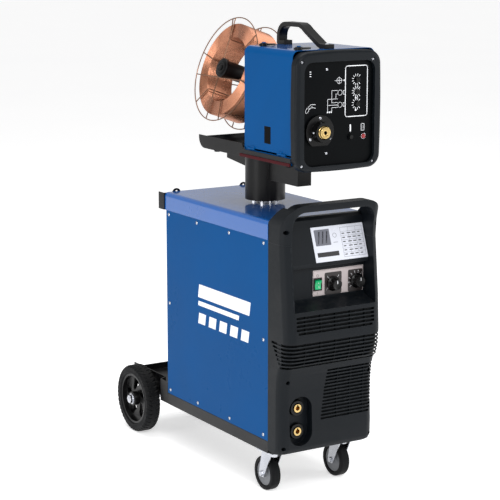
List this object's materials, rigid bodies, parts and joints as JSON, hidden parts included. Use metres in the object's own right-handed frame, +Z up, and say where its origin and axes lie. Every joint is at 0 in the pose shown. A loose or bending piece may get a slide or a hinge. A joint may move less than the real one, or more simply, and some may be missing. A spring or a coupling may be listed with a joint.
{
  "type": "mig welder on cart",
  "caption": "Wheeled MIG welding power source with a wire feeder that swivels on a post, an exposed wire spool, a front grip bar and a gas bottle platform behind.",
  "frame": {"origin": "on the floor, under the middle of the whole machine", "axes": "+Z up, front faces -Y, the machine's left side as seen from the front is -X"},
  "size_m": [0.41, 1.0085, 1.334],
  "materials": {
    "blue_paint": "glossy powder coat",
    "black_steel": "satin black paint",
    "charcoal_plastic": "finely grained moulding",
    "black_plastic": "moulded, slightly glossy",
    "panel_black": "printed front film",
    "light_plate": "satin",
    "label_white": "printed film",
    "green_rocker": "translucent lit plastic",
    "red_lens": "translucent lens",
    "zinc": "bright zinc plate",
    "brass": "turned",
    "copper_wire": "copper-coated welding wire, layer wound",
    "basket_wire": "copper-washed steel wire",
    "lamination": "varnished steel sheets",
    "winding_insulation": "varnished winding tape",
    "aluminium": "extruded",
    "board": "soldered board on a steel plate",
    "grey_plastic": "moulded",
    "tyre": "solid rubber, slightly dusty",
    "drive_metal": "machined"
  },
  "bodies": {
    "cart": {"base_frame": "black_steel", "bottle_platform": "black_steel", "bottle_cradle": "black_steel", "side_panel_left": "blue_paint", "side_panel_right": "blue_paint", "lid": "blue_paint", "rear_panel": "black_steel", "casing_screws": "zinc", "front_bezel_upper": "charcoal_plastic", "front_bezel_lower": "charcoal_plastic", "front_handle": "charcoal_plastic", "info_plate": "label_white", "control_plate": "light_plate", "switch_bodies": "black_plastic", "socket_shells": "black_plastic", "socket_inserts": "brass", "transformer_core": "lamination", "transformer_coils": "winding_insulation", "choke": "lamination", "rectifier_stack": "aluminium", "control_unit": "board", "fan_motor": "grey_plastic", "rear_axle": "zinc", "caster_plates": "zinc", "mains_gland": "black_plastic", "pivot_post": "zinc"},
    "feeder": {"feeder_support": "black_steel", "feeder_tray": "black_steel", "feeder_case": "blue_paint", "feeder_bezel": "charcoal_plastic", "feeder_panel": "panel_black", "torch_flange": "black_plastic", "torch_core": "brass", "feeder_handle": "black_plastic", "feeder_screws": "zinc", "spool_spindle": "black_steel", "wire_drive": "drive_metal", "alarm_lamp": "red_lens"},
    "spool": {"spool_basket": "basket_wire", "wire_winding": "copper_wire"},
    "power_rocker": {"power_rocker": "green_rocker"},
    "coarse_voltage_knob": {"coarse_voltage_knob": "black_plastic"},
    "fine_voltage_knob": {"fine_voltage_knob": "black_plastic"},
    "fan_blades": {"fan_blades": "grey_plastic"},
    "rear_wheel_left": {"rear_wheel_left": "tyre"},
    "rear_wheel_right": {"rear_wheel_right": "tyre"},
    "caster_fork_left": {"caster_fork_left": "zinc"},
    "caster_fork_right": {"caster_fork_right": "zinc"},
    "caster_wheel_left": {"caster_wheel_left": "tyre"},
    "caster_wheel_right": {"caster_wheel_right": "tyre"},
    "feeder_door": {"feeder_door": "blue_paint"},
    "door_latch_front": {"door_latch_front": "black_plastic"},
    "door_latch_rear": {"door_latch_rear": "black_plastic"},
    "dial_top": {"dial_top": "black_plastic"},
    "dial_middle": {"dial_middle": "black_plastic"},
    "dial_bottom": {"dial_bottom": "black_plastic"},
    "inch_button": {"inch_button": "black_plastic"},
    "drive_roll_lower": {"drive_roll_lower": "drive_metal"},
    "drive_roll_upper": {"drive_roll_upper": "drive_metal"},
    "pressure_arm": {"pressure_arm": "drive_metal"}
  },
  "joints": [
    {"name": "rear_wheel_spin_left", "type": "hinge", "parent": "cart", "child": "rear_wheel_left", "pos_m": [-0.168, 0.397, 0.1075], "axis": [1, 0, 0], "continuous": true},
    {"name": "caster_swivel_left", "type": "hinge", "parent": "cart", "child": "caster_fork_left", "pos_m": [-0.12, -0.34, 0.12], "axis": [0, 0, 1], "continuous": true},
    {"name": "caster_roll_left", "type": "hinge", "parent": "caster_fork_left", "child": "caster_wheel_left", "pos_m": [-0.12, -0.304, 0.05], "axis": [1, 0, 0], "continuous": true},
    {"name": "rear_wheel_spin_right", "type": "hinge", "parent": "cart", "child": "rear_wheel_right", "pos_m": [0.168, 0.397, 0.1075], "axis": [1, 0, 0], "continuous": true},
    {"name": "caster_swivel_right", "type": "hinge", "parent": "cart", "child": "caster_fork_right", "pos_m": [0.12, -0.34, 0.12], "axis": [0, 0, 1], "continuous": true},
    {"name": "caster_roll_right", "type": "hinge", "parent": "caster_fork_right", "child": "caster_wheel_right", "pos_m": [0.12, -0.304, 0.05], "axis": [1, 0, 0], "continuous": true},
    {"name": "fan_spin", "type": "hinge", "parent": "cart", "child": "fan_blades", "pos_m": [0, 0.198, 0.5], "axis": [0, 1, 0], "continuous": true},
    {"name": "power_rocker_tilt", "type": "hinge", "parent": "cart", "child": "power_rocker", "pos_m": [-0.023, -0.405, 0.613], "axis": [1, 0, 0], "range_deg": [-16, 0]},
    {"name": "coarse_voltage_turn", "type": "hinge", "parent": "cart", "child": "coarse_voltage_knob", "pos_m": [0.03, -0.418, 0.61], "axis": [0, 1, 0], "range_deg": [-150, 150]},
    {"name": "fine_voltage_turn", "type": "hinge", "parent": "cart", "child": "fine_voltage_knob", "pos_m": [0.11, -0.418, 0.61], "axis": [0, 1, 0], "range_deg": [-150, 150]},
    {"name": "feeder_swivel", "type": "hinge", "parent": "cart", "child": "feeder", "pos_m": [0, -0.098, 0.85], "axis": [0, 0, 1], "range_deg": [-170, 170]},
    {"name": "feeder_door_open", "type": "hinge", "parent": "feeder", "child": "feeder_door", "pos_m": [-0.1365, -0.318, 0.985], "axis": [0, -1, 0], "range_deg": [0, 90]},
    {"name": "door_latch_front_turn", "type": "hinge", "parent": "feeder_door", "child": "door_latch_front", "pos_m": [-0.106, -0.434, 1.274], "axis": [0, 0, 1], "range_deg": [0, 90]},
    {"name": "door_latch_rear_turn", "type": "hinge", "parent": "feeder_door", "child": "door_latch_rear", "pos_m": [-0.106, -0.258, 1.274], "axis": [0, 0, 1], "range_deg": [0, 90]},
    {"name": "dial_top_turn", "type": "hinge", "parent": "feeder", "child": "dial_top", "pos_m": [0.062, -0.472, 1.186], "axis": [0, 1, 0], "range_deg": [-140, 140]},
    {"name": "dial_middle_turn", "type": "hinge", "parent": "feeder", "child": "dial_middle", "pos_m": [0.062, -0.472, 1.153], "axis": [0, 1, 0], "range_deg": [-140, 140]},
    {"name": "dial_bottom_turn", "type": "hinge", "parent": "feeder", "child": "dial_bottom", "pos_m": [0.062, -0.472, 1.12], "axis": [0, 1, 0], "range_deg": [-140, 140]},
    {"name": "inch_button_press", "type": "slide", "parent": "feeder", "child": "inch_button", "axis": [0, 1, 0], "range_m": [0, 0.003], "stiffness_N_per_m": 300},
    {"name": "spool_spin", "type": "hinge", "parent": "feeder", "child": "spool", "pos_m": [0, 0.051, 1.166], "axis": [0.9426, 0, -0.3338], "continuous": true},
    {"name": "drive_roll_lower_spin", "type": "hinge", "parent": "feeder", "child": "drive_roll_lower", "pos_m": [-0.062, -0.318, 1.0352], "axis": [1, 0, 0], "continuous": true},
    {"name": "pressure_arm_lift", "type": "hinge", "parent": "feeder", "child": "pressure_arm", "pos_m": [-0.06, -0.273, 1.088], "axis": [-1, 0, 0], "range_deg": [0, 60]},
    {"name": "drive_roll_upper_spin", "type": "hinge", "parent": "pressure_arm", "child": "drive_roll_upper", "pos_m": [-0.062, -0.318, 1.0668], "axis": [1, 0, 0], "continuous": true}
  ],
  "couplings": [
    {"joint": "drive_roll_upper_spin", "follows": "drive_roll_lower_spin", "ratio": -1}
  ]
}
